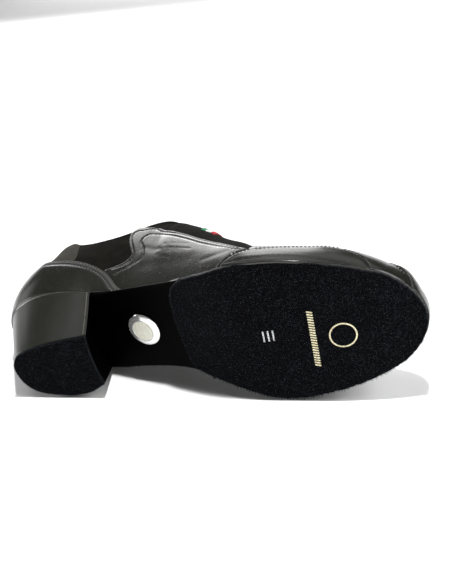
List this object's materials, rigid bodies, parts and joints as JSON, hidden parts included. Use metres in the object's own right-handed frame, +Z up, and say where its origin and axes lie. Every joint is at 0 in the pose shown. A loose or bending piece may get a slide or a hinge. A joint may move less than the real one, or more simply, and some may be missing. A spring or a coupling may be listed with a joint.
{
  "type": "dance sneaker",
  "caption": "low black leather dance shoe with a covered block heel, a split suede sole and an elastic collar, lying on its inner side",
  "frame": {"origin": "middle of the base of the bounding box, on the floor the shoe lies on", "axes": "+X from heel to toe, -Y the way the sole faces, +Z up, with the shoe's outer side uppermost"},
  "size_m": [0.2436, 0.1176, 0.0865],
  "materials": {
    "upper_leather": "satin",
    "panel_leather": "satin",
    "tab_weave": "matte",
    "insole_board": "matte",
    "sole_suede": "napped",
    "arch_leather": "satin",
    "heel_cover": "satin",
    "top_piece_suede": "napped",
    "button_metal": "polished",
    "button_inlay": "matte"
  },
  "bodies": {
    "root": {"upper": "upper_leather", "heel_counter": "panel_leather", "quarter_outer": "panel_leather", "quarter_inner": "panel_leather", "side_vamp_outer": "panel_leather", "side_vamp_inner": "panel_leather", "toe_cap": "panel_leather", "instep_tab": "tab_weave", "insole": "insole_board", "forefoot_sole": "sole_suede", "arch_cover": "arch_leather", "heel_block": "heel_cover", "heel_top_piece": "top_piece_suede", "arch_button": "button_metal", "arch_button_inlay": "button_inlay"}
  },
  "joints": []
}
